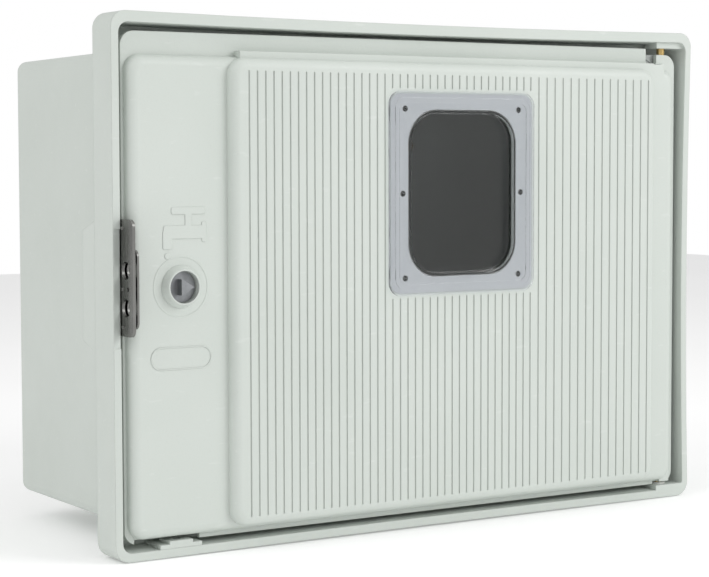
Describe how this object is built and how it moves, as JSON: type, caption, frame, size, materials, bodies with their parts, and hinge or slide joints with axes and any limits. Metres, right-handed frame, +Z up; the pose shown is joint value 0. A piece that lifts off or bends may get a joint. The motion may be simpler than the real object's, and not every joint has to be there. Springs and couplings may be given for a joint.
{
  "type": "meter cabinet",
  "caption": "Wall cabinet of moulded polyester for a water meter, with a ribbed hinged door, viewing window, triangular key lock and padlock plates.",
  "frame": {"origin": "centre of the back face that lies on the wall", "axes": "+X to the right seen from the front, +Y from the door towards the wall, +Z up"},
  "size_m": [0.5096, 0.227, 0.3697],
  "materials": {
    "polyester": "pale grey moulded polyester, satin",
    "brass": "turned brass",
    "rubber": "black rubber",
    "clear_polycarbonate": "clear moulded polycarbonate",
    "spring_steel": "bright spring steel",
    "zinc_steel": "zinc plated steel",
    "zinc_casting": "dark die casting",
    "plate_steel": "rolled stainless steel",
    "nylon": "natural nylon"
  },
  "bodies": {
    "cabinet": {"cabinet_box": "polyester", "cabinet_collar": "polyester", "keeper_block": "polyester", "board_inserts": "brass", "pipe_grommets": "rubber", "frame_padlock_plate": "plate_steel", "frame_plate_rivets": "plate_steel", "lower_hinge_pin": "brass", "hinge_washer": "nylon"},
    "door": {"door_panel": "polyester", "window_gasket": "rubber", "window": "clear_polycarbonate", "window_push_nuts": "spring_steel", "lock_housing": "polyester", "lock_nut": "zinc_steel", "bolt_guides": "nylon", "guide_screws": "zinc_steel", "door_padlock_plate": "plate_steel", "door_plate_rivets": "plate_steel", "hinge_pin_spring": "spring_steel"},
    "lock": {"lock_barrel": "zinc_casting", "lock_crank": "zinc_steel", "crank_screw": "zinc_steel"},
    "bolt": {"drop_bolt": "zinc_steel", "bolt_yoke": "nylon"},
    "pin": {"upper_hinge_pin": "brass", "hinge_pin_lever": "zinc_steel", "hinge_pin_clip": "spring_steel"}
  },
  "joints": [
    {"name": "door_swing", "type": "hinge", "parent": "cabinet", "child": "door", "pos_m": [0.2315, -0.2, 0], "axis": [0, 0, 1], "range_deg": [0, 100]},
    {"name": "key_turn", "type": "hinge", "parent": "door", "child": "lock", "pos_m": [-0.2055, -0.2, 0.003], "axis": [0, 1, 0], "range_deg": [0, 90]},
    {"name": "bolt_drop", "type": "slide", "parent": "door", "child": "bolt", "axis": [0, 0, -1], "range_m": [0, 0.0093]},
    {"name": "pin_retract", "type": "slide", "parent": "door", "child": "pin", "axis": [0, 0, -1], "range_m": [0, 0.0065], "stiffness_N_per_m": 600, "springref_m": -0.004, "deforming": ["hinge_pin_spring"]}
  ],
  "couplings": [
    {"joint": "bolt_drop", "follows": "key_turn", "m_per_rad": 0.0058521}
  ]
}
